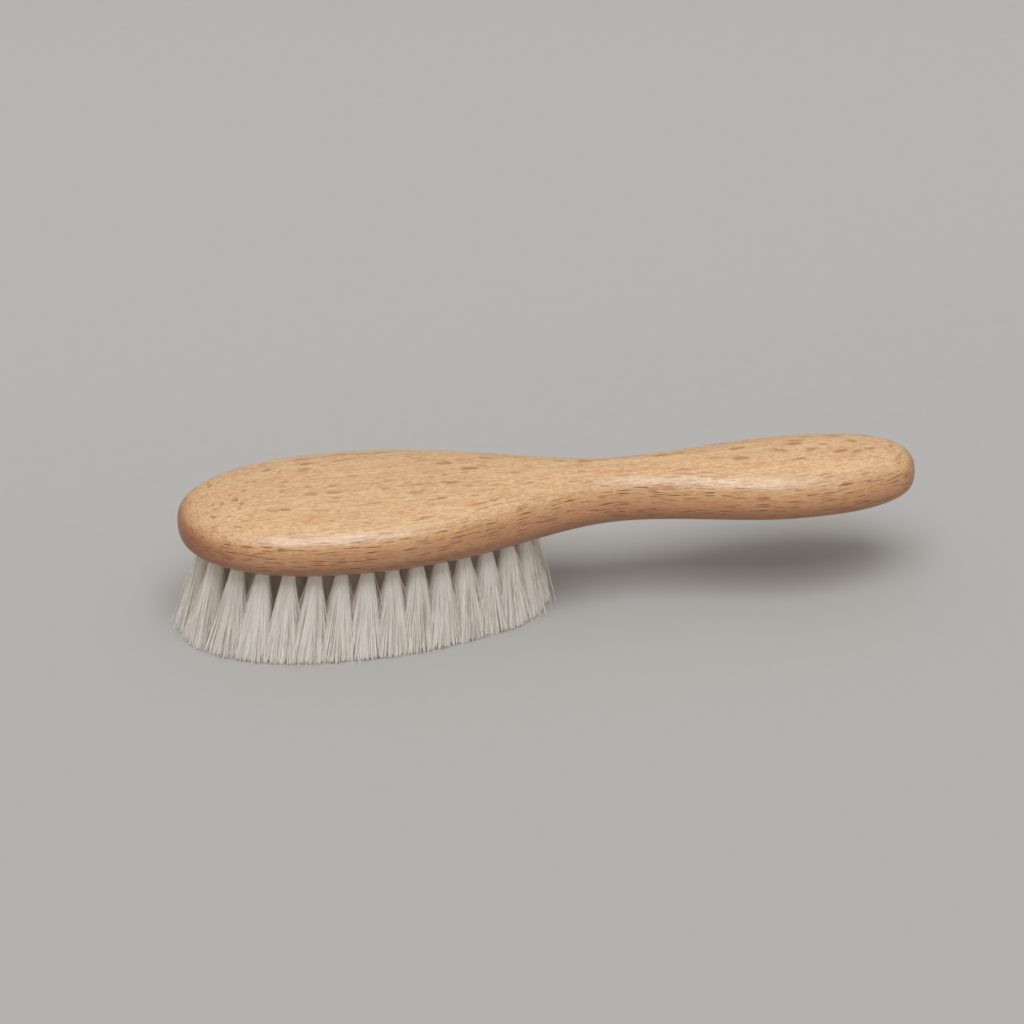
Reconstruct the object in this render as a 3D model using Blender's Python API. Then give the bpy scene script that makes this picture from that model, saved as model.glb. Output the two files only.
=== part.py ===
"""Baby grooming brush: a one-piece beech body, drilled on its underside, with tufts of goat hair.

Metres, +Z up. X runs from the nose of the head to the butt of the handle. The hair tips stand on Z = 0.
"""

import math

import bmesh
import bpy
import numpy as np
from mathutils import Matrix, Vector

# Stations along the body, each measured from the one before it.
NOSE_TO_WIDEST = 0.0358
WIDEST_TO_NECK = 0.0594
NECK_TO_GRIP = 0.0371
GRIP_TO_BUTT = 0.0277

# Widths and thicknesses of the body at those stations.
HEAD_WIDTH = 0.0429
NECK_WIDTH = 0.0147
GRIP_WIDTH = 0.0257
BUTT_WIDTH = 0.0207
HEAD_THICKNESS = 0.0137
NECK_THICKNESS = 0.0128
GRIP_THICKNESS = 0.0142

# The head keeps its thickness over this length, and its sides draw in a little late.
HEAD_LEVEL_LENGTH = 0.060
DRAW_IN_DELAY = 1.17

# Rounding of the two ends: the length it takes and how full the curve is.
NOSE_LENGTH = 0.0356
NOSE_FULLNESS = 2.28
BUTT_LENGTH = 0.0213
BUTT_FULLNESS = 2.6
END_THINNING = 0.8

# Cross-section: the power of its rounded rectangle in the head and in the handle.
HEAD_SQUARENESS = 2.83
HANDLE_SQUARENESS = 2.34

# Heights: the drilled face over the ground, the wood milled off to make it flat, and how far the
# undersides of the neck and the grip lie above that face.
FACE_HEIGHT = 0.0184
MILLED_DEPTH = 0.0013
NECK_LIFT = 0.0002
GRIP_LIFT = -0.0008

# Tuft field on the drilled face: two closed rows and a centre row.
ROW_MARGIN = 0.006
ROW_SPACING = 0.0073
OUTER_ROW_END = 0.0754
MIDDLE_ROW_END = 0.0672
CENTRE_ROW_END = 0.054
ROW_END_ROUNDING = 0.008
OUTER_ROW_TAPER = 0.96  # below 1, the tufts stand closer together towards the neck
OUTER_TUFTS = 30
MIDDLE_TUFTS = 18
CENTRE_TUFTS = 6

# One tuft: a bundle of hair, folded over a flat wire and driven into its bore.
TUFT_ROOT_DIAMETER = 0.0032
TUFT_ROOT_DEPTH = 0.0067
TUFT_TIP_DIAMETER = 0.0064
STRAND_TAPER = 0.8
STRANDS_ACROSS = 3
TRIM_DEPTH = 0.0005

# The bores are splayed. Carried on upward, the outer row's lines meet over this point of the face, and seen
# from the end of the brush they meet lower than seen from its side. The middle row has half the splay.
SPLAY_FROM_NOSE = 0.0646
SPLAY_HEIGHT_ALONG = 0.317
SPLAY_HEIGHT_ACROSS = 0.1235
MIDDLE_SPLAY_SHARE = 0.5

# The wire's ends stand out of the bundle, as blades that bite into the wood.
WIRE_HEIGHT = 0.0014
WIRE_REACH = 0.0005
WIRE_THICKNESS = 0.0002
SEAT_GAP = 0.0003

# Fineness of the body's surface and of the rows' measured lines.
BODY_STATIONS = 48
BODY_SIDES = 32
SHARP_EDGE = math.radians(35.0)
ROW_SAMPLES = 800

NECK_AT = NOSE_TO_WIDEST + WIDEST_TO_NECK
GRIP_AT = NECK_AT + NECK_TO_GRIP
LENGTH = GRIP_AT + GRIP_TO_BUTT

# Linear colour, roughness and metallic value of each material.
BEECH = ((0.62, 0.39, 0.22, 1.0), 0.42, 0.0)
GOAT_HAIR = ((0.66, 0.61, 0.53, 1.0), 0.60, 0.0)
WIRE_STEEL = ((0.55, 0.54, 0.52, 1.0), 0.35, 1.0)


def clear_scene():
    for old in list(bpy.data.objects):
        bpy.data.objects.remove(old, do_unlink=True)


def make_collection(name):
    collection = bpy.data.collections.new(name)
    bpy.context.scene.collection.children.link(collection)
    return collection


def make_material(name, look):
    color, roughness, metallic = look
    material = bpy.data.materials.new(name)
    material.use_nodes = True
    shader = material.node_tree.nodes["Principled BSDF"]
    shader.inputs["Base Color"].default_value = color
    shader.inputs["Roughness"].default_value = roughness
    shader.inputs["Metallic"].default_value = metallic
    material.diffuse_color = color
    return material


def make_object(name, bm, collection, parent, materials=()):
    bmesh.ops.recalc_face_normals(bm, faces=bm.faces)
    mesh = bpy.data.meshes.new(name)
    bm.to_mesh(mesh)
    bm.free()
    for material in materials:
        mesh.materials.append(material)
    made = bpy.data.objects.new(name, mesh)
    made.parent = parent
    collection.objects.link(made)
    return made


def ease(share):
    """Soft step from 0 to 1."""
    share = min(max(share, 0.0), 1.0)
    return share * share * (3.0 - 2.0 * share)


def rounding(share, fullness):
    """Height of a rounded end, from 0 at its tip to 1 where it meets the straight side."""
    share = min(max(share, 0.0), 1.0)
    return (1.0 - (1.0 - share) ** fullness) ** (1.0 / fullness)


def end_rounding(x):
    nose = rounding(x / NOSE_LENGTH, NOSE_FULLNESS)
    butt = rounding((LENGTH - x) / BUTT_LENGTH, BUTT_FULLNESS)
    return nose * butt


def side_width(x):
    """Half-width of the body before its ends are rounded."""
    drawn_in = min(max((x - NOSE_TO_WIDEST) / WIDEST_TO_NECK, 0.0), 1.0)
    width = HEAD_WIDTH + (NECK_WIDTH - HEAD_WIDTH) * ease(drawn_in**DRAW_IN_DELAY)
    width += (GRIP_WIDTH - NECK_WIDTH) * ease((x - NECK_AT) / NECK_TO_GRIP)
    width += (BUTT_WIDTH - GRIP_WIDTH) * ease((x - GRIP_AT) / GRIP_TO_BUTT)
    return width / 2.0


def section(x):
    """Half-width, half-thickness, height of the middle and squareness of the section at x."""
    to_neck = ease((x - HEAD_LEVEL_LENGTH) / (NECK_AT - HEAD_LEVEL_LENGTH))
    to_grip = ease((x - NECK_AT) / NECK_TO_GRIP)
    head = HEAD_THICKNESS + MILLED_DEPTH
    thickness = head + (NECK_THICKNESS - head) * to_neck + (GRIP_THICKNESS - NECK_THICKNESS) * to_grip
    head_middle = FACE_HEIGHT - MILLED_DEPTH + head / 2.0
    neck_middle = FACE_HEIGHT + NECK_LIFT + NECK_THICKNESS / 2.0
    grip_middle = FACE_HEIGHT + GRIP_LIFT + GRIP_THICKNESS / 2.0
    middle = head_middle + (neck_middle - head_middle) * to_neck + (grip_middle - neck_middle) * to_grip
    squareness = HEAD_SQUARENESS + (HANDLE_SQUARENESS - HEAD_SQUARENESS) * to_neck
    end = end_rounding(x)
    return side_width(x) * end, thickness * end**END_THINNING / 2.0, middle, squareness


def underside_height(x, y):
    """Height of the head's underside at a point of the tuft field."""
    half_width, half_thickness, middle, squareness = section(x)
    across = min(abs(y) / half_width, 1.0)
    drop = half_thickness * (1.0 - across**squareness) ** (1.0 / squareness)
    return max(middle - drop, FACE_HEIGHT)


def end_clustered(start, end, count):
    """Stations from start to end, set closer together towards both ends."""
    return [start + (end - start) * (1.0 - math.cos(math.pi * n / count)) / 2.0 for n in range(count + 1)]


def signed_power(value, power):
    return math.copysign(abs(value) ** power, value)


def section_ring(bm, x):
    half_width, half_thickness, middle, squareness = section(x)
    ring = []
    for side in range(BODY_SIDES):
        angle = 2.0 * math.pi * side / BODY_SIDES
        y = half_width * signed_power(math.cos(angle), 2.0 / squareness)
        z = middle + half_thickness * signed_power(math.sin(angle), 2.0 / squareness)
        ring.append(bm.verts.new((x, y, z)))
    return ring


def loft_body():
    """The body's sections, joined into one skin that closes on a point at each end."""
    bm = bmesh.new()
    rings = [section_ring(bm, x) for x in end_clustered(0.0, LENGTH, BODY_STATIONS)[1:-1]]
    nose = bm.verts.new((0.0, 0.0, section(0.0)[2]))
    butt = bm.verts.new((LENGTH, 0.0, section(LENGTH)[2]))
    for side in range(BODY_SIDES):
        after = (side + 1) % BODY_SIDES
        bm.faces.new((nose, rings[0][after], rings[0][side]))
        bm.faces.new((butt, rings[-1][side], rings[-1][after]))
        for ring, following in zip(rings, rings[1:]):
            bm.faces.new((ring[side], ring[after], following[after], following[side]))
    return bm


def row_outline(inset, end):
    """One side of a row that runs round the head inside its outline: distance along it, x and y."""
    xs = end_clustered(inset, end, ROW_SAMPLES)
    ys = []
    for x in xs:
        nose = rounding((x - inset) / (NOSE_LENGTH - inset), NOSE_FULLNESS)
        tail = rounding((end - x) / ROW_END_ROUNDING, 2.0)
        ys.append((side_width(x) - inset) * nose * tail)
    # The row runs on past both ends a little, mirrored, so that its direction there is across the brush.
    xs = [xs[1]] + xs + [xs[-2]]
    ys = [-ys[1]] + ys + [-ys[-2]]
    way = np.cumsum(np.hypot(np.diff(xs, prepend=xs[0]), np.diff(ys, prepend=ys[0])))
    return way - way[1], xs, ys


def row_shares(count):
    """Side of the brush and share of the row's way for each tuft, from the nose along the near side and back."""
    shares = [2.0 * tuft / count for tuft in range(count)]
    return [(-1.0, share) if share <= 1.0 else (1.0, 2.0 - share) for share in shares]


def closed_row(inset, end, shares):
    """Places and outward directions of a row's tufts."""
    way, xs, ys = row_outline(inset, end)
    one_side = way[-2]
    step = min(-way[0], way[-1] - one_side)
    places = []
    for side, share in shares:
        along = one_side * share
        x, y = np.interp(along, way, xs), np.interp(along, way, ys)
        across = np.interp([along - step, along + step], way, ys)
        ahead = np.interp([along - step, along + step], way, xs)
        outward = Vector((across[0] - across[1], side * (ahead[1] - ahead[0]), 0.0))
        places.append((float(x), side * float(y), outward.normalized()))
    return places


def tuft_layout():
    """Name, place, outward direction and slope of every tuft."""

    def slope_at(x, y):
        return Vector(((x - SPLAY_FROM_NOSE) / SPLAY_HEIGHT_ALONG, y / SPLAY_HEIGHT_ACROSS, 0.0))

    layout = []
    outer_shares = [(side, share**OUTER_ROW_TAPER) for side, share in row_shares(OUTER_TUFTS)]
    for number, (x, y, outward) in enumerate(closed_row(ROW_MARGIN, OUTER_ROW_END, outer_shares), 1):
        layout.append((f"outer_tuft_{number:02d}", x, y, outward, slope_at(x, y)))
    inset = ROW_MARGIN + ROW_SPACING
    middle_shares = row_shares(MIDDLE_TUFTS)
    for number, (x, y, outward) in enumerate(closed_row(inset, MIDDLE_ROW_END, middle_shares), 1):
        layout.append((f"middle_tuft_{number:02d}", x, y, outward, slope_at(x, y) * MIDDLE_SPLAY_SHARE))
    first = inset + ROW_SPACING
    for number in range(CENTRE_TUFTS):
        x = first + (CENTRE_ROW_END - first) * number / (CENTRE_TUFTS - 1)
        layout.append((f"centre_tuft_{number + 1:02d}", x, 0.0, Vector((0.0, 1.0, 0.0)), Vector()))
    return layout


def tuft_frame(x, y, outward, slope):
    """Frame of a tuft: origin where it leaves the wood, +X outward along its wire, +Z up its bore."""
    up_bore = (Vector((0.0, 0.0, 1.0)) - slope).normalized()
    along_wire = (outward - up_bore * outward.dot(up_bore)).normalized()
    across_wire = up_bore.cross(along_wire)
    frame = Matrix((along_wire, across_wire, up_bore)).transposed().to_4x4()
    frame.translation = (x, y, underside_height(x, y))
    return frame


def add_stub(bm, radius, bottom, top, wire_height, blade_thickness=None):
    """A round stub from bottom to top with the two wire ends on it; returns the cells of its lower face."""
    made = bmesh.ops.create_grid(bm, x_segments=STRANDS_ACROSS, y_segments=STRANDS_ACROSS, size=1.0)
    verts = made["verts"]
    for vert in verts:
        # The square grid's points move onto a disc.
        u, v = vert.co.x, vert.co.y
        disc = Vector((u * math.sqrt(1.0 - v * v / 2.0), v * math.sqrt(1.0 - u * u / 2.0), 0.0))
        vert.co = disc * radius + Vector((0.0, 0.0, bottom))
    cells = list(dict.fromkeys(face for vert in verts for face in vert.link_faces))
    rim = list(dict.fromkeys(edge for vert in verts for edge in vert.link_edges if edge.is_boundary))
    wall = []
    for rise in (top - bottom - wire_height, wire_height):
        raised = bmesh.ops.extrude_edge_only(bm, edges=rim)["geom"]
        lifted = [item for item in raised if isinstance(item, bmesh.types.BMVert)]
        bmesh.ops.translate(bm, verts=lifted, vec=(0.0, 0.0, rise))
        wall = [item for item in raised if isinstance(item, bmesh.types.BMFace)]
        rim = [item for item in raised if isinstance(item, bmesh.types.BMEdge) and item.is_boundary]
    bmesh.ops.edgeloop_fill(bm, edges=rim)
    wire_faces = sorted(wall, key=lambda face: abs(face.calc_center_median().x))[-2:]
    for end in bmesh.ops.extrude_discrete_faces(bm, faces=wire_faces)["faces"]:
        reach = math.copysign(WIRE_REACH, end.calc_center_median().x)
        for vert in end.verts:
            vert.co.x += reach
            if blade_thickness is not None:
                vert.co.y = math.copysign(blade_thickness / 2.0, vert.co.y)
        end.material_index = 1
        for edge in end.edges:
            for face in edge.link_faces:
                face.material_index = 1
    return cells


def make_tuft(name, frame, collection, parent, materials):
    bm = bmesh.new()
    cells = add_stub(bm, TUFT_ROOT_DIAMETER / 2.0, 0.0, TUFT_ROOT_DEPTH, WIRE_HEIGHT, WIRE_THICKNESS)
    # The strands leave the bundle side by side and fan out evenly on their way to the ground.
    up_bore = frame.col[2].xyz
    root = frame.translation
    foot = root - up_bore * ((root.z + TRIM_DEPTH) / up_bore.z)
    outward = Vector((frame.col[0].x, frame.col[0].y, 0.0)).normalized()
    across = Vector((frame.col[1].x, frame.col[1].y, 0.0)).normalized()
    to_tuft = frame.inverted()
    for tip in bmesh.ops.extrude_discrete_faces(bm, faces=cells)["faces"]:
        centre = tip.calc_center_median()
        for vert in tip.verts:
            spread = centre * TUFT_TIP_DIAMETER / TUFT_ROOT_DIAMETER + (vert.co - centre) * STRAND_TAPER
            vert.co = to_tuft @ (foot + outward * spread.x + across * spread.y)
    # The tips are trimmed level, so the brush stands on flat ends.
    ground = to_tuft @ (root * Vector((1.0, 1.0, 0.0)))
    level = (to_tuft.to_3x3() @ Vector((0.0, 0.0, 1.0))).normalized()
    everything = bm.verts[:] + bm.edges[:] + bm.faces[:]
    bmesh.ops.bisect_plane(bm, geom=everything, plane_co=ground, plane_no=level, clear_inner=True)
    bmesh.ops.holes_fill(bm, edges=[edge for edge in bm.edges if edge.is_boundary])
    tuft = make_object(name, bm, collection, parent, materials)
    tuft.matrix_local = frame
    return tuft


def make_cutter(name, bm, collection, parent):
    cutter = make_object(name, bm, collection, parent)
    cutter.hide_render = True
    cutter.display_type = "WIRE"
    return cutter


def milling_cutter(collection, parent):
    """Block that planes the head's underside flat, up to the neck."""
    bm = bmesh.new()
    bmesh.ops.create_cube(bm, size=1.0)
    size = Vector((2.0 * NECK_AT, 2.0 * HEAD_WIDTH, FACE_HEIGHT))
    bmesh.ops.transform(bm, matrix=Matrix.Diagonal(size).to_4x4(), verts=bm.verts)
    bmesh.ops.translate(bm, vec=(0.0, 0.0, FACE_HEIGHT / 2.0), verts=bm.verts)
    return make_cutter("milling_cutter", bm, collection, parent)


def drilling_cutter(frames, collection, parent):
    """Every tuft's bore, with a notch for each end of its wire."""
    bm = bmesh.new()
    radius = TUFT_ROOT_DIAMETER / 2.0 + SEAT_GAP
    for frame in frames:
        before = set(bm.verts)
        notch_height = WIRE_HEIGHT + 2.0 * SEAT_GAP
        add_stub(bm, radius, -TUFT_ROOT_DIAMETER, TUFT_ROOT_DEPTH + SEAT_GAP, notch_height)
        added = [vert for vert in bm.verts if vert not in before]
        bmesh.ops.transform(bm, matrix=frame, verts=added)
    return make_cutter("drilling_cutter", bm, collection, parent)


def make_body(frames, collection, cutters, parent, beech):
    body = make_object("brush_body", loft_body(), collection, parent, [beech])
    body.data.shade_smooth()
    body.data.set_sharp_from_angle(angle=SHARP_EDGE)
    for cutter in (milling_cutter(cutters, parent), drilling_cutter(frames, cutters, parent)):
        cut = body.modifiers.new(cutter.name, "BOOLEAN")
        cut.operation = "DIFFERENCE"
        cut.solver = "EXACT"
        cut.object = cutter
    return body


def centre_on_origin(frame, pieces):
    """Moves the frame so that the middle of the brush's footprint is over the origin."""
    bpy.context.view_layer.update()
    corners = [piece.matrix_local @ vert.co for piece in pieces for vert in piece.data.vertices]
    low = [min(corner[axis] for corner in corners) for axis in range(2)]
    high = [max(corner[axis] for corner in corners) for axis in range(2)]
    frame.location = (-(low[0] + high[0]) / 2.0, -(low[1] + high[1]) / 2.0, 0.0)


def main():
    clear_scene()
    brush = make_collection("baby_grooming_brush")
    cutters = make_collection("cutters")
    frame = bpy.data.objects.new("brush_frame", None)
    brush.objects.link(frame)
    beech = make_material("oiled_beech", BEECH)
    hair = make_material("goat_hair", GOAT_HAIR)
    wire = make_material("wire_steel", WIRE_STEEL)

    layout = tuft_layout()
    frames = [tuft_frame(x, y, outward, slope) for _, x, y, outward, slope in layout]
    pieces = [make_body(frames, brush, cutters, frame, beech)]
    for (name, *_), place in zip(layout, frames):
        pieces.append(make_tuft(name, place, brush, frame, [hair, wire]))
    centre_on_origin(frame, pieces)


main()
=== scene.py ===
import math

import bmesh
import bpy
import numpy as np
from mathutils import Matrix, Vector


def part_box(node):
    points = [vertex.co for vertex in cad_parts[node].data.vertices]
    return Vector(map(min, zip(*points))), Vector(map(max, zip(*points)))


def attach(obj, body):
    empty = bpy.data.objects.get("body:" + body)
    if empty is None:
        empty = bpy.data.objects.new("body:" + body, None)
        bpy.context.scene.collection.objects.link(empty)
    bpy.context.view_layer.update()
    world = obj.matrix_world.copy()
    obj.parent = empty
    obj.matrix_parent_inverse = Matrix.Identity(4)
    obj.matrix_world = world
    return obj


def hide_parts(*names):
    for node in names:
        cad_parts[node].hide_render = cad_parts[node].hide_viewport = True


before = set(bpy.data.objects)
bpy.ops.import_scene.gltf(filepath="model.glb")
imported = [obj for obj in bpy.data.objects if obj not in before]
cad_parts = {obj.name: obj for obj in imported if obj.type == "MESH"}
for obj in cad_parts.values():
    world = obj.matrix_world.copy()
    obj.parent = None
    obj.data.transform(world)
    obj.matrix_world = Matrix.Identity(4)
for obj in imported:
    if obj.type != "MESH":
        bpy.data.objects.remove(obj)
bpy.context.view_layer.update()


class Field:  # a node's output that Python's operators work on
    def __init__(self, paint, socket):
        self.paint, self.socket = paint, socket

    def maths(self, operation, *values):
        return self.paint.node("ShaderNodeMath", dict(operation=operation), dict(enumerate(values)))

    def __add__(self, other): return self.maths("ADD", self, other)
    def __radd__(self, other): return self.maths("ADD", other, self)
    def __sub__(self, other): return self.maths("SUBTRACT", self, other)
    def __rsub__(self, other): return self.maths("SUBTRACT", other, self)
    def __mul__(self, other): return self.maths("MULTIPLY", self, other)
    def __rmul__(self, other): return self.maths("MULTIPLY", other, self)
    def __abs__(self): return self.maths("ABSOLUTE", self)

    def between(self, low, high):  # 0 below low and 1 above high, with a soft step
        return self.paint.node("ShaderNodeMapRange", dict(interpolation_type="SMOOTHSTEP"),
                               {"Value": self, "From Min": low, "From Max": high})


class Paint:  # the nodes of a material or of the world
    def __init__(self, owner, shader="Principled BSDF", coordinates="Object"):
        owner.use_nodes = True
        self.owner, self.tree = owner, owner.node_tree
        self.shader = self.tree.nodes[shader]
        self.surface = Field(self, self.shader.outputs[0])
        self.place = self.node("ShaderNodeTexCoord", {}, {}, coordinates)

    def node(self, kind, settings, sockets, output=0):
        made = self.tree.nodes.new(kind)
        for name, value in settings.items():
            setattr(made, name, value)
        self.feed(made, sockets)
        return Field(self, made.outputs[output])

    def feed(self, node, sockets):
        for name, value in sockets.items():
            if isinstance(value, Field):
                self.tree.links.new(value.socket, node.inputs[name])
            else:
                node.inputs[name].default_value = value

    def vector(self, operation, *values, output=0):
        return self.node("ShaderNodeVectorMath", dict(operation=operation), dict(enumerate(values)), output)

    def colour(self, share, low, high):  # a Mix node's colours go in at 6 and 7, and come out at 2
        return self.node("ShaderNodeMix", dict(data_type="RGBA"), {0: share, 6: low, 7: high}, 2)

    def scaled(self, place, sizes, move=(0, 0, 0)):  # a pattern's own space: one unit is one of its cells
        sockets = {"Vector": place, "Location": move, "Scale": [1 / size for size in sizes]}
        return self.node("ShaderNodeMapping", {}, sockets)

    def noise(self, place, detail=2.0, rough=0.5):
        sockets = {"Vector": place, "Scale": 1.0, "Detail": detail, "Roughness": rough}
        return self.node("ShaderNodeTexNoise", {}, sockets)

    def attribute(self, name):
        return self.node("ShaderNodeAttribute", dict(attribute_name=name), {}, "Fac")


def rgb(red, green, blue):  # a colour as the eye reads it, 0 to 255
    eye = [c / 255 for c in (red, green, blue)]
    return [(c / 12.92 if c < 0.0404 else ((c + 0.055) / 1.055) ** 2.4) for c in eye] + [1]


body = dict(
    length=0.160, widestAt=0.0358, levelTo=0.060, neckAt=0.0952, gripAt=0.1323,  # along X, from the nose
    widths=(0.0429, 0.0147, 0.0257, 0.0207), drawIn=1.17,  # of head, neck, grip and butt
    thicknesses=(0.0150, 0.0128, 0.0142), middles=(0.0246, 0.0250, 0.0247),  # of head, neck and grip
    squares=(2.83, 2.34),  # of the head's section and the handle's, where 2 is an ellipse
    noseLength=0.0356, noseFull=2.28, buttLength=0.0213, buttFull=2.6, thinning=0.8,
    face=0.0184, faceEnds=0.086, faceDrop=0.003, faceSoft=0.00025,  # the planed underside and its soft edge
    around=144, along=260,
)
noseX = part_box("brush_body")[0].x  # where the nose stands in the frame


def clamp(share):
    return min(max(share, 0), 1)


def ease(share):
    share = clamp(share)
    return share * share * (3 - 2 * share)


def rounded(share, full):
    return (1 - (1 - clamp(share)) ** full) ** (1 / full)


def reached(sizes, shares):  # the first size, then on to each next one by its share
    size = sizes[0]
    for before, after, share in zip(sizes, sizes[1:], shares):
        size += (after - before) * share
    return size


def sectionAt(x):  # half width, half thickness, middle height and squareness
    b = body
    drawn = clamp((x - b["widestAt"]) / (b["neckAt"] - b["widestAt"])) ** b["drawIn"]
    toNeck = ease((x - b["levelTo"]) / (b["neckAt"] - b["levelTo"]))
    toGrip = ease((x - b["neckAt"]) / (b["gripAt"] - b["neckAt"]))
    toButt = ease((x - b["gripAt"]) / (b["length"] - b["gripAt"]))
    width = reached(b["widths"], (ease(drawn), toGrip, toButt))
    thickness = reached(b["thicknesses"], (toNeck, toGrip))
    nose = rounded(x / b["noseLength"], b["noseFull"])
    end = nose * rounded((b["length"] - x) / b["buttLength"], b["buttFull"])
    middle, square = reached(b["middles"], (toNeck, toGrip)), reached(b["squares"], (toNeck,))
    return width * end / 2, thickness * end ** b["thinning"] / 2, middle, square


def shapeBody():
    b = body
    bm = bmesh.new()
    bmesh.ops.create_uvsphere(bm, u_segments=b["around"], v_segments=b["along"], radius=1)
    for vert in bm.verts:  # the ball's poles become nose and butt
        x = b["length"] * (1 - vert.co.z) / 2
        halfWidth, halfThick, middle, square = sectionAt(x)
        ring = math.hypot(vert.co.x, vert.co.y)
        c, s = (vert.co.x / ring, vert.co.y / ring) if ring > 1e-6 else (1, 0)
        y = halfWidth * math.copysign(abs(c) ** (2 / square), c)
        z = middle + halfThick * math.copysign(abs(s) ** (2 / square), s)
        plane = b["face"] - b["faceDrop"] * ease((x - b["faceEnds"]) / (b["neckAt"] - b["faceEnds"]))
        z = (z + plane + math.hypot(z - plane, b["faceSoft"])) / 2
        vert.co = noseX + x, y, z
    bmesh.ops.recalc_face_normals(bm, faces=bm.faces)
    for face in bm.faces:
        face.smooth = True
    mesh = bpy.data.meshes.new("beechBody")
    bm.to_mesh(mesh)
    bm.free()
    return mesh


def newPiece(name, mesh, material, nodes):
    piece = bpy.data.objects.new(name, mesh)
    bpy.context.scene.collection.objects.link(piece)
    mesh.materials.append(material)
    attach(piece, "root")
    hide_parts(*nodes)
    return piece


beechLook = dict(
    light=rgb(236, 196, 149), mid=rgb(227, 182, 133), deep=rgb(206, 154, 106), pale=rgb(241, 208, 164),
    # the side colour is the side grain's pinker hue with painted warm bounce light, the next one painted
    # shade on the lower faces, and the end grain's browner colour carries painted shade too
    side=rgb(232, 155, 101), underShade=rgb(128, 92, 74), endGrainAndShade=rgb(160, 89, 49),
    fleck=rgb(178, 121, 79), dash=rgb(124, 62, 34),
    swayCell=(0.05, 0.03, 0.03), swayAcross=0.004, swayUp=0.0022,  # how the grain wanders along the brush
    grain=dict(  # a noise's cell along, across and up, how far it is moved, its detail and its roughness
        bands=((0.09, 0.0042, 0.0036), (0, 0, 0), 2, 0.5),
        lines=((0.035, 0.0011, 0.0010), (0, 0, 0), 3, 0.6),
        streaks=((0.016, 0.00075, 0.00044), (0, 0, 0), 2, 0.6),
        pores=((0.0030, 0.00050, 0.00026), (0, 0, 0), 1, 0.5),
        specks=((0.0038, 0.00065, 0.00034), (3, 1, 2), 2, 0.6),
        dots=((0.0012, 0.00036, 0.00020), (1, 5, 3), 2, 0.6),
    ),
    bandsFrom=(0.30, 0.70), mottleCell=(0.012, 0.006, 0.006),
    layers=(  # a pattern, where it fades in, how strong it is, and its colour
        ("lines", (0.42, 0.66), 0.6, "deep"), ("streaks", (0.45, 0.75), 0.5, "deep"),
        ("mottle", (0.45, 0.8), 0.3, "deep"), ("pores", (0.50, 0.68), 0.35, "deep"),
        ("specks", (0.48, 0.66), 0.35, "pale"), ("dots", (0.50, 0.64), 0.6, "deep"),
    ),
    gapsFrom=(0.36, 0.50), gapShare=0.55,  # the pale wood between the dots
    # how the wood's lean changes its colour, from straight down at -1 to straight up at 1: the side faces'
    # pinker hue is partly the side grain's own and partly painted warm bounce light, and the lower faces get
    # painted shade
    flatFrom=(0.45, 0.95), sideHueAndBounceFrom=(-0.5, 0.85), sideHueAndBounceShare=0.75, underShadeFrom=(-0.75, 0.20), underShadeShare=0.5,
    lowShadeFrom=(-0.25, 0.45), lowShadeShare=0.18, headTo=(-0.02, 0.03),  # painted shade: darker still on the head's lower sides
    noseFrom=(0.25, 1.0), noseShare=0.85, buttFrom=(0.3, 1.0), buttShare=0.6,
    lenses=dict(  # a lens's cell, its own size, and the chance at which it shows
        rays=((0.0042, 0.0032, 0.00050), (0.0028, 0.0011, 0.00014), (0.20, 0.85)),
        small=((0.0026, 0.0017, 0.00036), (0.0016, 0.0008, 0.00008), (0.30, 0.95)),
        dashes=((0.0037, 0.0024, 0.00052), (0.0024, 0.0014, 0.00016), (0.22, 0.85)),
    ),
    lensEdge=(0.45, 1.0), raggedCell=(0.0016, 0.0009, 0.0007), ragged=0.9,
    rayShare=0.8, smallShare=0.5, thinShare=0.4, dashShare=0.8,
    roughness=0.33, rayRough=0.15, streakRough=0.12, gloss=0.76, sheen=rgb(224, 242, 255),
    streakHeight=0.6, poreHeight=0.3, rayHeight=0.5, bump=0.6, bumpDepth=0.0001,
)


def beechLens(p, grain, ragged, cell, size, chance):  # flat lenses that lie level in the wood
    cells = p.scaled(grain, cell)
    kind = dict(voronoi_dimensions="3D", feature="F1")
    heart = p.node("ShaderNodeTexVoronoi", kind, {"Vector": cells, "Scale": 1.0}, "Position")
    lot = p.node("ShaderNodeTexVoronoi", kind, {"Vector": cells, "Scale": 1.0}, "Color")
    apart = p.vector("MULTIPLY", p.vector("SUBTRACT", cells, heart), [c / s for c, s in zip(cell, size)])
    reach = p.vector("LENGTH", apart, output="Value") + ragged
    shown = p.node("ShaderNodeSeparateColor", {}, {0: lot}).between(*chance)
    return (1 - reach.between(*beechLook["lensEdge"])) * shown


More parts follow.
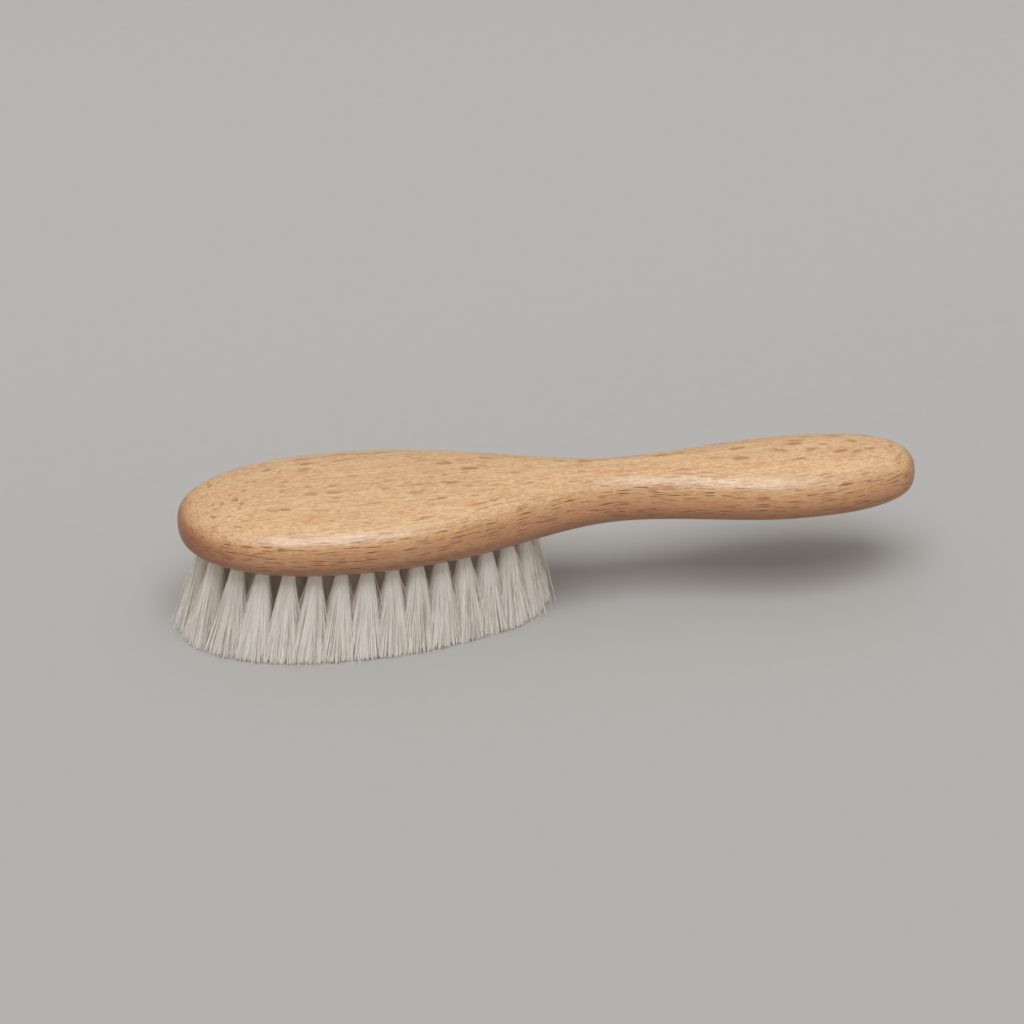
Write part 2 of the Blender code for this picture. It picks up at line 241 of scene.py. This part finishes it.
def paintBeech():
    look = beechLook
    p = Paint(bpy.data.materials.new("oiled beech"))
    sway = p.noise(p.scaled(p.place, look["swayCell"]), 1) - 0.5
    sway = p.node("ShaderNodeCombineXYZ", {}, {"Y": sway * look["swayAcross"], "Z": sway * look["swayUp"]})
    grain = p.vector("ADD", p.place, sway)
    # growth bands, streaks and pores, all drawn out along X
    pattern = {name: p.noise(p.scaled(grain, cell, move), detail, rough)
               for name, (cell, move, detail, rough) in look["grain"].items()}
    pattern["mottle"] = p.noise(p.scaled(p.place, look["mottleCell"]), 2)
    tone = p.colour(pattern["bands"].between(*look["bandsFrom"]), look["mid"], look["light"])
    for name, fadeIn, strength, colour in look["layers"]:
        tone = p.colour(pattern[name].between(*fadeIn) * strength, tone, look[colour])
    gaps = 1 - pattern["dots"].between(*look["gapsFrom"])
    tone = p.colour(gaps * look["gapShare"], tone, look["pale"])
    # side grain is pinker, partly its own hue and partly painted warm bounce light; end grain browner,
    # partly its own colour and partly painted shade
    facing = p.node("ShaderNodeNewGeometry", {}, {}, "Normal")
    along, up = (p.node("ShaderNodeSeparateXYZ", {}, {0: facing}, axis) for axis in "XZ")
    flat = abs(up).between(*look["flatFrom"])
    # painted bounce light: faces that lean down turn pinker, besides the side grain's own hue
    tone = p.colour((1 - up.between(*look["sideHueAndBounceFrom"])) * look["sideHueAndBounceShare"], tone, look["side"])
    onHead = 1 - p.node("ShaderNodeSeparateXYZ", {}, {0: p.place}, "X").between(*look["headTo"])
    # painted shade on the head's lower sides, which lean down
    low = (1 - up.between(*look["lowShadeFrom"])) * onHead * look["lowShadeShare"]
    # painted shade: the faces that lean down are darkened, and the head's lower sides more
    tone = p.colour((1 - up.between(*look["underShadeFrom"])) * look["underShadeShare"] + low, tone, look["underShade"])
    # end grain at nose and butt browner: partly its own colour, partly painted shade
    nose = (-1 * along).between(*look["noseFrom"]) * look["noseShare"]
    tone = p.colour(nose + along.between(*look["buttFrom"]) * look["buttShare"], tone, look["endGrainAndShade"])
    # rays: seen broad from above, and as dark dashes from the side
    ragged = (p.noise(p.scaled(p.place, look["raggedCell"]), 2) - 0.5) * look["ragged"]
    lens = {name: beechLens(p, grain, ragged, *sizes) for name, sizes in look["lenses"].items()}
    rays, small, dashes = lens["rays"], lens["small"], lens["dashes"]
    tone = p.colour(rays * flat * look["rayShare"], tone, look["fleck"])
    tone = p.colour(small * look["smallShare"], tone, look["fleck"])
    tone = p.colour(small * (1 - flat) * look["thinShare"], tone, look["dash"])
    tone = p.colour(dashes * (1 - flat) * look["dashShare"], tone, look["dash"])
    streaks, pores = pattern["streaks"], pattern["pores"]
    rough = look["roughness"] + rays * look["rayRough"] + (streaks - 0.5) * look["streakRough"]
    height = streaks * look["streakHeight"] + pores * look["poreHeight"] - rays * look["rayHeight"]
    bump = {"Strength": look["bump"], "Distance": look["bumpDepth"], "Height": height}
    p.feed(p.shader, {"Base Color": tone, "Roughness": rough, "Normal": p.node("ShaderNodeBump", {}, bump),
                      "Specular IOR Level": look["gloss"], "Specular Tint": look["sheen"]})
    return p.owner


hair = dict(
    shell=dict(outer=860, middle=420, centre=300), inside=300,  # hairs round a tuft's core, and below it
    plugDepth=0.0067,  # of the solid's root, above the wood's face
    rootRadius=0.00122, tipOut=0.0034, tipWide=0.0037, squareness=4.2,
    rootShell=(0.66, 1.02), rootInside=(0, 0.7), tipShell=(0.80, 1.10),  # squares of a hair's reach
    turnStep=2.39996, turnSpread=0.10,  # the golden angle, from each hair to the next
    steps=(-0.12, 0.0, 0.3, 0.62, 1.0), insideFrom=0.75,  # shares of the way from wood to ground
    sides=3, thickness=0.00009, thickTo=0.6, tipThickness=0.00008, widths=(0.8, 1.3),  # of a strand
    locks=110, lockPull=(0.05, 0.5), lockLift=0.04, wave=0.00009, secondWave=0.5,
    strays=0.04, strayReach=(0.05, 0.5), strayWave=4, shortTips=0.0007, shortest=0.0018,
    coreSides=96, coreSteps=(-0.12, 0.0, 0.2, 0.4, 0.6, 0.8, 0.915, 0.94, 0.946), coreFlatSteps=3,
    coreReach=(0.9, 0.9, 0.9, 0.9, 0.9, 0.90, 0.88, 0.80, 0.40),
    coreRidges=0.04, ridgeFrom=0.15, ridgeMost=(-0.1, 0.04),
    tones=32, lockTone=0.6, ownTone=0.4,  # shades of hair on the baked map, and what decides a hair's shade
    firstSeed=100,
)
hairMap = dict(  # the baked map: the core's sides on its left half, and a column for each shade on its right
    columnMargin=0.1, columnWide=0.8, top=0.05, deep=0.9, bow=0.02, coreTilt=0.3, coreWide=0.96,
)


def tubeShape(name, sides, rings, flatFrom):  # a closed tube of radius 1, whose Z counts its rings downwards
    bm = bmesh.new()
    bmesh.ops.create_circle(bm, cap_ends=True, segments=sides, radius=1)
    end = bm.faces[:]
    for _ in range(rings - 1):
        grown = bmesh.ops.extrude_face_region(bm, geom=end)["geom"]
        end = [item for item in grown if isinstance(item, bmesh.types.BMFace)]
        bmesh.ops.translate(bm, vec=(0, 0, -1), verts=end[0].verts)
    level = [face for face in bm.faces if face.normal.z ** 2 > 0.5]
    inner = [face for face in level if 0.5 < -face.calc_center_median().z < rings - 1.5]
    bmesh.ops.delete(bm, geom=inner, context="FACES_ONLY")
    bmesh.ops.recalc_face_normals(bm, faces=bm.faces)
    for face in bm.faces:  # the cut ends stay flat
        levels = {round(-vert.co.z) for vert in face.verts}
        face.smooth = len(levels) > 1 and min(levels) < flatFrom
    mesh = bpy.data.meshes.new(name)
    bm.to_mesh(mesh)
    bm.free()
    return mesh


def tubePoints(tube):  # its points, and the number of each one's ring
    points = np.array([vert.co for vert in tube.vertices])
    return points, (-points[:, 2]).round().astype(int)


def tubeCorners(tube):
    return np.array([loop.vertex_index for loop in tube.loops])


def tuftLine(node):  # where a tuft's solid leaves the wood, and its foot on the ground
    points = np.unique(np.array([vert.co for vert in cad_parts[node].data.vertices]).round(6), axis=0)
    foot = points[points[:, 2] < 2e-5].mean(0)
    axis = np.array((0.0, 0.0, 1.0))
    for _ in range(4):  # each round finds the root's flat end along a truer axis
        reach = (points - foot) @ axis
        top = points[reach > reach.max() - 0.0004].mean(0)
        axis = (top - foot) / np.linalg.norm(top - foot)
    return top - axis * hair["plugDepth"], foot


def tuftPlace(node, lines):  # mouth, foot, and the directions out of the row and along it, at both
    mouth, foot = lines[node]
    row = [name for name in lines if name.split("_")[0] == node.split("_")[0]]
    spot = row.index(node)
    ahead = lines[row[(spot + 1) % len(row)]][1] - lines[row[spot - 1]][1]
    outward = np.array((ahead[1], -ahead[0], 0.0)) / np.linalg.norm(ahead)
    across = np.cross((0.0, 0.0, 1.0), outward)
    axis = (mouth - foot) / np.linalg.norm(mouth - foot)
    side = np.cross(axis, outward)
    side /= np.linalg.norm(side)
    return mouth, foot, np.array([np.cross(side, axis), side]), np.array([outward, across])


def lay(place, share, root, tip):  # points a share of the way down, from a place at the root to one below
    mouth, foot, rootSides, tipSides = place
    low = share.clip(0, 1)[..., None]
    h = hair
    return (mouth + (foot - mouth) * share[..., None] + (root * h["rootRadius"]) @ rootSides * (1 - low)
            + (tip * (h["tipOut"], h["tipWide"])) @ tipSides * low)


def squarer(flat):  # a round section drawn out towards its corners
    full = hair["squareness"]
    size = np.linalg.norm(flat, axis=-1, keepdims=True).clip(1e-9, None)
    return flat / ((abs(flat / size) ** full).sum(-1, keepdims=True) ** (1 / full))


def around(reach, turn):  # places at a reach and a turn from the tuft's middle
    return reach[:, None] * np.stack([np.cos(turn), np.sin(turn)], 1)


def combStrands(node, place, rng):  # centre points (hair, ring, 3), shares (hair, ring) and shades
    h = hair
    shell, inside = h["shell"][node.split("_")[0]], h["inside"]
    count = shell + inside
    outer = np.arange(count) < shell
    turn = np.arange(count) * h["turnStep"] + rng.uniform(0, 6.28)
    rootReach = np.where(outer, np.sqrt(rng.uniform(*h["rootShell"], count)),
                         np.sqrt(rng.uniform(*h["rootInside"], count)))
    tipReach = np.where(outer, np.sqrt(rng.uniform(*h["tipShell"], count)), rootReach)
    root = around(rootReach, turn)
    tip = squarer(around(tipReach, turn + rng.normal(0, h["turnSpread"], count)))
    # hairs gather in locks, and a few stray
    locks = tip[rng.choice(count, h["locks"], replace=False)]
    lock = np.linalg.norm(tip[:, None] - locks, axis=2).argmin(1)
    nearest = locks[lock]
    lift = 1 + rng.normal(0, h["lockLift"], h["locks"])[lock, None]
    root, tip = root * lift, tip * lift
    stray = (rng.random((count, 1)) < h["strays"]) & outer[:, None]
    away = tip * rng.uniform(*h["strayReach"], (count, 1))
    tip = tip + np.where(stray, away, (nearest - tip) * rng.uniform(*h["lockPull"], (count, 1)))
    start = np.where(outer, 0.0, h["insideFrom"])[:, None]
    share = start + (1 - start) * np.array(h["steps"])
    points = lay(place, share, root[:, None], tip[:, None])
    wave = rng.normal(0, h["wave"], (count, 1, 2)) * np.where(stray, h["strayWave"], 1)[:, None]
    low = share.clip(0, 1)[..., None]
    second = wave[:, :, ::-1] * h["secondWave"] * np.sin(2 * np.pi * low)
    points += (wave * np.sin(np.pi * low) + second) @ place[3]
    short = np.abs(rng.normal(0, h["shortTips"], (count, 1))).clip(0, h["shortest"])
    points[:, :, 2] += short * low[..., 0] ** 2
    tones = (rng.random(h["locks"])[lock] * h["lockTone"] + rng.random(count) * h["ownTone"]) * h["tones"]
    return points, share, tones.astype(int)


def thicken(strand, paths, rng):  # every strand's points round its own line
    h = hair
    shape, ring = tubePoints(strand)
    thicknesses = h["thickness"], h["thickness"], h["tipThickness"]
    width = np.interp(h["steps"], (0, h["thickTo"], 1), thicknesses) / 2
    points = paths[:, ring]
    turn = rng.uniform(0, 2 * np.pi, (len(paths), 1))
    section = np.stack([shape[:, 0] * np.cos(turn) - shape[:, 1] * np.sin(turn),
                        shape[:, 0] * np.sin(turn) + shape[:, 1] * np.cos(turn)], 2)
    points[:, :, :2] += section * width[ring, None] * rng.uniform(*h["widths"], (len(paths), 1, 1))
    points[:, :, 2] = points[:, :, 2].clip(0, None)
    return points


def coreColumn(core):  # the side that each point of the core is on
    points, sides = tubePoints(core)[0], hair["coreSides"]
    return (np.arctan2(points[:, 1], points[:, 0]) / (2 * np.pi) * sides).round().astype(int) % sides


def ridgeCore(core, place, rng):  # the core, ridged like hair pressed together
    h = hair
    shape, level = tubePoints(core)
    column = coreColumn(core)
    share = np.array(h["coreSteps"])[level]
    ridge = rng.normal(0, h["coreRidges"], h["coreSides"])[column] * share.clip(h["ridgeFrom"], 1)
    reach = np.array(h["coreReach"])[level] * (1 + ridge.clip(*h["ridgeMost"]))
    flat = shape[:, :2] * reach[:, None]
    tone = rng.random(h["coreSides"])[column]
    return lay(place, share, flat, squarer(flat)), share, tone


def mapStrands(strand, shares, tones):
    h, m = hair, hairMap
    shape, ring = tubePoints(strand)
    corners = tubeCorners(strand)
    side = np.arctan2(shape[:, 1], shape[:, 0])[corners] / (2 * np.pi) + 0.5
    across = 0.5 + (tones[:, None] + m["columnMargin"] + m["columnWide"] * side) / h["tones"] / 2
    down = m["top"] + m["deep"] * shares[:, ring[corners]].clip(0, 1) + m["bow"] * (side - 0.5) ** 2
    return np.stack([across, down], 2).reshape(-1, 2)


def mapCore(core):
    h, m = hair, hairMap
    level, column = tubePoints(core)[1], coreColumn(core)
    tilt = m["coreTilt"] * np.cos(column * 2 * np.pi / h["coreSides"])
    across, down = (column + 0.5) / h["coreSides"] / 2, (level + 0.5 + tilt) / len(h["coreSteps"])
    places = np.stack([across, down], 1)[tubeCorners(core)]
    for face in core.polygons:  # the seam's faces run on past the last column
        span = places[face.loop_start:face.loop_start + face.loop_total, 0]
        if span.max() - span.min() > 0.25:
            span[span < 0.25] += 0.5
    places[:, 0] *= m["coreWide"]
    return places


def makeTuft(node, number, place, strand, core, material):
    rng = np.random.default_rng(hair["firstSeed"] + number)
    paths, shares, tones = combStrands(node, place, rng)
    bm = bmesh.new()
    for _ in paths:
        bm.from_mesh(strand)
    bm.from_mesh(core)
    mesh = bpy.data.meshes.new(node + "_hair")
    bm.to_mesh(mesh)
    bm.free()
    points = thicken(strand, paths, rng)
    coreAt, coreShare, coreTone = ridgeCore(core, place, rng)
    places = np.concatenate([points.reshape(-1, 3), coreAt])
    mesh.vertices.foreach_set("co", places.astype(np.float32).ravel())
    ring = tubePoints(strand)[1]
    tone = np.concatenate([np.repeat((tones + 0.5) / hair["tones"], len(ring)), coreTone])
    along = np.concatenate([shares[:, ring].ravel(), coreShare])
    pressed = np.arange(len(along)) >= len(paths) * len(ring)
    for name, value in dict(alongHair=along, hairTone=tone, pressedHair=pressed).items():
        mesh.attributes.new(name, "FLOAT", "POINT").data.foreach_set("value", value.astype(np.float32))
    onMap = np.concatenate([mapStrands(strand, shares, tones), mapCore(core)])
    mesh.uv_layers.new(name="OFBake").data.foreach_set("uv", onMap.astype(np.float32).ravel())
    return newPiece(node + "_hair", mesh, material, [node])


hairLook = dict(
    pale=rgb(255, 252, 246), warm=rgb(249, 243, 233), dark=rgb(166, 150, 130), root=rgb(255, 252, 245),
    toneCells=36, alongCells=0.8,  # of the noise that tells hairs apart
    # the roots are painted paler: painted light against the shade the wood casts on them
    paleFrom=(0.25, 0.6), darkTo=(0.30, 0.43), darkShare=0.85, rootLightTo=(0.1, 0.6), rootLightShare=0.85,
    # the core is painted darker low down: painted shade like that the strands cast on each other
    coreShadeFrom=(0.5, 0.9), coreShadeShare=0.6,
    # a faint painted glow stands in for light passing through the hair
    roughness=0.5, streakRough=0.2, glow=rgb(255, 226, 204), glowStrength=0.016,
)


def paintHair():
    look = hairLook
    p = Paint(bpy.data.materials.new("goat hair"))
    tone, along, pressed = (p.attribute(name) for name in ("hairTone", "alongHair", "pressedHair"))
    cells = {"X": tone * look["toneCells"], "Y": along * look["alongCells"]}
    streak = p.noise(p.node("ShaderNodeCombineXYZ", {}, cells), 1)
    shade = p.colour(streak.between(*look["paleFrom"]), look["warm"], look["pale"])
    shade = p.colour((1 - streak.between(*look["darkTo"])) * look["darkShare"], shade, look["dark"])
    # painted light: the roots are painted paler, against the shade that the wood casts on them
    shade = p.colour((1 - along.between(*look["rootLightTo"])) * look["rootLightShare"], shade, look["root"])
    # painted shade: the core darker low down, as the strands in front shade each other
    coreShade = pressed * along.between(*look["coreShadeFrom"])
    shade = p.colour(coreShade * look["coreShadeShare"], shade, look["dark"])
    rough = look["roughness"] + (streak - 0.5) * look["streakRough"]
    # a faint constant painted glow stands in for light passing through the hair
    p.feed(p.shader, {"Base Color": shade, "Roughness": rough,
                      "Emission Color": look["glow"], "Emission Strength": look["glowStrength"]})
    return p.owner


photoView = dict(  # the camera's place, how far it looks down and turns, and its lens in mm
    place=(-0.128952, -0.697574, 0.389944), down=math.radians(27.498), turn=math.radians(9.805),
    lens=130.86, sensor=36, nearest=0.01,
)
studio = dict(
    floor=rgb(182, 180, 177), farFloor=rgb(192, 190, 189), farFrom=(-0.15, 0.35),
    grit=rgb(160, 158, 155), gritCell=(0.004, 0.004, 0.004), gritFrom=(0.2, 0.8), gritShare=0.06,
    floorSize=12, floorRough=0.9, floorGloss=0.2, fade=(0.7, 2.2),
    horizon=0.10, zenith=0.64, domeColour=(1.04, 1.0, 0.95, 1), background=rgb(183, 181, 178),
    keyDistance=3.0, keyHeight=math.radians(66.5), keyAim=0.02, keySize=(2.2, 2.0),
    keyWatts=56.0, keyColour=(0.97, 1.0, 1.03),
)


def placeCamera():
    v = photoView
    lens = bpy.data.cameras.new("photoCamera")
    lens.lens, lens.sensor_width, lens.clip_start = v["lens"], v["sensor"], v["nearest"]
    camera = bpy.data.objects.new("photoCamera", lens)
    bpy.context.scene.collection.objects.link(camera)
    camera.location = v["place"]
    camera.rotation_euler = math.pi / 2 - v["down"], 0, -v["turn"]
    bpy.context.scene.camera = camera


def layFloor():
    s = studio
    bm = bmesh.new()
    bmesh.ops.create_grid(bm, x_segments=8, y_segments=8, size=s["floorSize"] / 2)
    mesh = bpy.data.meshes.new("floor")
    bm.to_mesh(mesh)
    bm.free()
    floor = bpy.data.objects.new("floor", mesh)
    bpy.context.scene.collection.objects.link(floor)
    p = Paint(bpy.data.materials.new("pale floor"))
    back = p.node("ShaderNodeSeparateXYZ", {}, {0: p.place}, "Y")
    grit = p.noise(p.scaled(p.place, s["gritCell"]), 3, 0.6)
    shade = p.colour(back.between(*s["farFrom"]), s["floor"], s["farFloor"])
    shade = p.colour(grit.between(*s["gritFrom"]) * s["gritShare"], shade, s["grit"])
    p.feed(p.shader, {"Base Color": shade, "Roughness": s["floorRough"],
                      "Specular IOR Level": s["floorGloss"]})
    # far from the brush it fades into the background, for the camera alone
    away = p.vector("LENGTH", p.place, output="Value").between(*s["fade"])
    seen = p.node("ShaderNodeLightPath", {}, {}, "Is Camera Ray")
    haze = p.node("ShaderNodeEmission", {}, {"Color": s["background"]})
    mixed = p.node("ShaderNodeMixShader", {}, {0: seen * away, 1: p.surface, 2: haze})
    p.feed(p.tree.nodes["Material Output"], {"Surface": mixed})
    mesh.materials.append(p.owner)


def hangLights():
    s = studio
    world = bpy.data.worlds.new("studio")
    bpy.context.scene.world = world
    # a dome that brightens upwards, and a plain background for the camera
    p = Paint(world, "Background", "Generated")
    height = p.node("ShaderNodeSeparateXYZ", {}, {0: p.place}, "Z")
    rise = p.node("ShaderNodeMapRange", {}, {"Value": height, "To Min": s["horizon"], "To Max": s["zenith"]})
    p.feed(p.shader, {"Color": s["domeColour"], "Strength": rise})
    back = p.node("ShaderNodeBackground", {}, {"Color": s["background"]})
    seen = p.node("ShaderNodeLightPath", {}, {}, "Is Camera Ray")
    p.feed(p.tree.nodes["World Output"], {
        "Surface": p.node("ShaderNodeMixShader", {}, {0: seen, 1: p.surface, 2: back})})
    # one wide softbox, high behind the camera
    lamp = bpy.data.lights.new("softbox", "AREA")
    lamp.shape, lamp.energy, lamp.color = "RECTANGLE", s["keyWatts"], s["keyColour"]
    lamp.size, lamp.size_y = s["keySize"]
    key = bpy.data.objects.new("softbox", lamp)
    bpy.context.scene.collection.objects.link(key)
    turn, height = photoView["turn"], s["keyHeight"]
    level = math.cos(height)
    towards = Vector((-math.sin(turn) * level, -math.cos(turn) * level, math.sin(height)))
    key.location = towards * s["keyDistance"] + Vector((0, 0, s["keyAim"]))
    key.rotation_euler = (math.pi / 2 - height, 0, -turn)


placeCamera()
layFloor()
hangLights()
bpy.context.scene.view_settings.view_transform = "Standard"
print("studio ready")

newPiece("beechBody", shapeBody(), paintBeech(), ["brush_body"])
print("body shaped")

coreRings = len(hair["coreSteps"])
strand = tubeShape("strand", hair["sides"], len(hair["steps"]), 0)
core = tubeShape("core", hair["coreSides"], coreRings, coreRings - hair["coreFlatSteps"])
goatHair = paintHair()
tufts = sorted(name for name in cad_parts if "_tuft_" in name)
lines = {node: tuftLine(node) for node in tufts}
for number, node in enumerate(tufts):
    makeTuft(node, number, tuftPlace(node, lines), strand, core, goatHair)
print("hair combed:", len(tufts), "tufts, strand", len(strand.polygons), "faces, core", len(core.polygons))
bpy.data.meshes.remove(strand)
bpy.data.meshes.remove(core)
